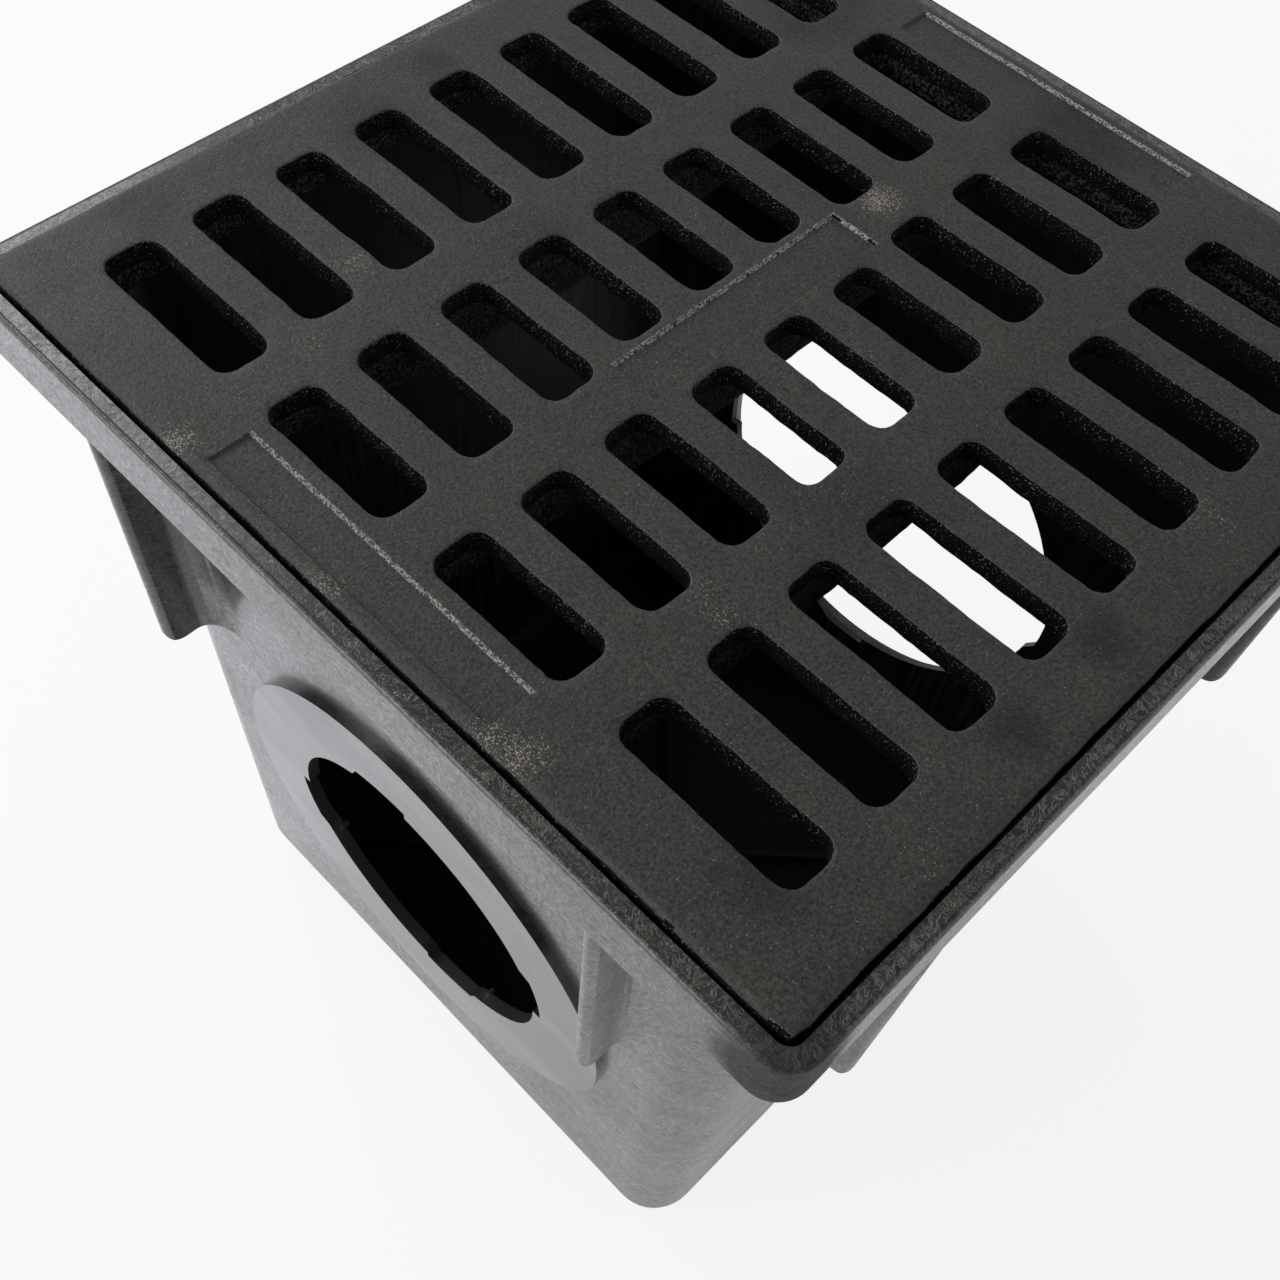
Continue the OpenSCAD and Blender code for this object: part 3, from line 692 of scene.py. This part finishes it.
def cast_grate():
    """The grate's mesh: plate, frame and webs in one casting, roughened, with three bare sunk panels. Faces
    steeper than about 60 degrees, and those below, get the second material."""
    points, faces = plate_and_frame()
    parts = [(points, faces)]
    for x in (-WEB_WIDTH - INNER_SLOT, 0, WEB_WIDTH + INNER_SLOT):
        parts.append(web(x))
    start, all_points, all_faces = 0, [], []
    for points, faces in parts:
        all_points.append(roughen(points))
        all_faces.append(faces + start)
        start += len(points)
    mesh = bpy.data.meshes.new("grate_casting")
    mesh.from_pydata(np.concatenate(all_points).tolist(), [], np.concatenate(all_faces).tolist())
    work = bmesh.new()
    work.from_mesh(mesh)
    bmesh.ops.remove_doubles(work, verts=work.verts, dist=2e-6)
    bmesh.ops.recalc_face_normals(work, faces=work.faces)
    for low, high in PANELS:
        sink_panel(work, low, high, PANEL_DEPTH, PANEL_SLOPE)
    work.to_mesh(mesh)
    work.free()
    mesh.shade_smooth()
    mesh.set_sharp_from_angle(angle=math.radians(40))
    facing = np.zeros(3 * len(mesh.polygons))
    mesh.polygons.foreach_get("normal", facing)
    mesh.polygons.foreach_set("material_index", (facing[2::3] < 0.45).astype(np.int32))
    made = bpy.data.objects.new("grate_casting", mesh)
    bpy.context.scene.collection.objects.link(made)
    return made


iron = coated_cast_iron()
grate = cast_grate()
grate.data.materials.append(iron)
grate.data.materials.append(shaded_sides_cast_iron())
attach(grate, "root")
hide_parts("grate")
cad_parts["grate"].data.materials.clear()
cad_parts["grate"].data.materials.append(iron)


# Studio
# A pale sheet for a floor, a large soft lamp on the left, a weaker one on the outlet's side, and a white
# room with a dimmer ceiling round it all. The camera stands where the photograph's did.

def pale_sheet():
    """Matt white sheet. The camera and glossy skins see it brighter, and the object's shadow stays. What
    glossy skins see is a painted reflection, brightest on the left where the lamp stands and faintly blue."""
    material = bpy.data.materials.new("matt_white_sheet")
    material.use_nodes = True
    tree = material.node_tree
    tree.nodes.clear()
    place = node(tree, "TexCoord").outputs["Object"]
    tooth = node(tree, "TexNoise", {"Scale": 300, "Detail": 2}, {"Vector": place})
    tone = node(tree, "Mix", {"data_type": "RGBA", 6: linear("#f3f3f3"), 7: linear("#f6f6f6")},
                {0: tooth.outputs[0]})
    sheet = node(tree, "BsdfDiffuse", links={"Color": tone.outputs[2]})
    seen = node(tree, "LightPath")
    # Painted reflection: glossy skins see the sheet faintly blue
    cool = node(tree, "Mix", {"data_type": "RGBA", 6: (1, 1, 1, 1), 7: linear("#f8f8ff")},
                {0: seen.outputs["Is Glossy Ray"]})
    glow = node(tree, "Emission", {"Strength": 1.0}, {"Color": cool.outputs[2]})
    # Painted reflection: what glossy skins mirror falls to a quarter from the left to the right
    side = node(tree, "SeparateXYZ", links={0: place})
    mirrored = node(tree, "MapRange", {1: -0.37, 2: 0.12, 3: 1.0, 4: 0.28}, {0: side.outputs[0]})
    glossy = node(tree, "Math", {"operation": "MULTIPLY"},
                  {0: mirrored.outputs[0], 1: seen.outputs["Is Glossy Ray"]})
    plain = node(tree, "Math", {"operation": "MULTIPLY", 1: 0.85}, {0: seen.outputs["Is Camera Ray"]})
    share = node(tree, "Math", {"operation": "MAXIMUM"}, {0: plain.outputs[0], 1: glossy.outputs[0]})
    mixed = node(tree, "MixShader", links={0: share.outputs[0], 1: sheet.outputs[0], 2: glow.outputs[0]})
    node(tree, "OutputMaterial", links={"Surface": mixed.outputs[0]})
    return material


FLOOR_HALF = 4.0
floor_mesh = bpy.data.meshes.new("floor")
floor_mesh.from_pydata([(-FLOOR_HALF, -FLOOR_HALF, 0), (FLOOR_HALF, -FLOOR_HALF, 0),
                        (FLOOR_HALF, FLOOR_HALF, 0), (-FLOOR_HALF, FLOOR_HALF, 0)], [], [(0, 1, 2, 3)])
floor = bpy.data.objects.new("floor", floor_mesh)
floor_mesh.materials.append(pale_sheet())
bpy.context.scene.collection.objects.link(floor)

world = bpy.data.worlds.new("white_room")
bpy.context.scene.world = world
world.use_nodes = True
world.node_tree.nodes.clear()
path = node(world.node_tree, "LightPath")
facing = node(world.node_tree, "TexCoord").outputs["Generated"]
rise = node(world.node_tree, "SeparateXYZ", links={0: facing})
ceiling = node(world.node_tree, "MapRange", {1: 0.25, 2: 0.75, 3: 0.85, 4: 0.2}, {0: rise.outputs[2]})
level = node(world.node_tree, "Math", {"operation": "MAXIMUM"},
             {0: path.outputs["Is Camera Ray"], 1: ceiling.outputs[0]})
room = node(world.node_tree, "Background", {"Color": (1, 1, 1, 1)}, {"Strength": level.outputs[0]})
node(world.node_tree, "OutputWorld", links={"Surface": room.outputs[0]})


def soft_lamp(name, place, aim, size, power):
    """A square soft lamp that faces a point."""
    data = bpy.data.lights.new(name, "AREA")
    data.shape = "SQUARE"
    data.size = size
    data.energy = power
    lamp = bpy.data.objects.new(name, data)
    towards = np.array(aim) - np.array(place)
    yaw = math.atan2(towards[1], towards[0]) - math.pi / 2
    tilt = math.atan2(math.hypot(towards[0], towards[1]), -towards[2])
    lamp.location = place
    lamp.rotation_euler = (tilt, 0, yaw)
    bpy.context.scene.collection.objects.link(lamp)
    return lamp


soft_lamp("left_lamp", (-1.7, -0.1, 1.5), (0, 0, 0.3), 1.5, 22)
soft_lamp("outlet_side_lamp", (-0.7, -1.7, 0.9), (0, 0, 0.15), 1.3, 12)

camera_data = bpy.data.cameras.new("camera")
camera_data.lens = 43.123
camera_data.sensor_width = 36
camera_data.shift_x = 0.01992
camera_data.shift_y = 0.00195
camera_data.clip_start = 0.01
camera = bpy.data.objects.new("camera", camera_data)
camera.location = (0.185204, -0.264727, 0.646255)
camera.rotation_euler = [math.radians(a) for a in (33.2391, -3.7391, 45.3203)]
bpy.context.scene.collection.objects.link(camera)
bpy.context.scene.camera = camera
bpy.context.scene.view_settings.view_transform = "Standard"
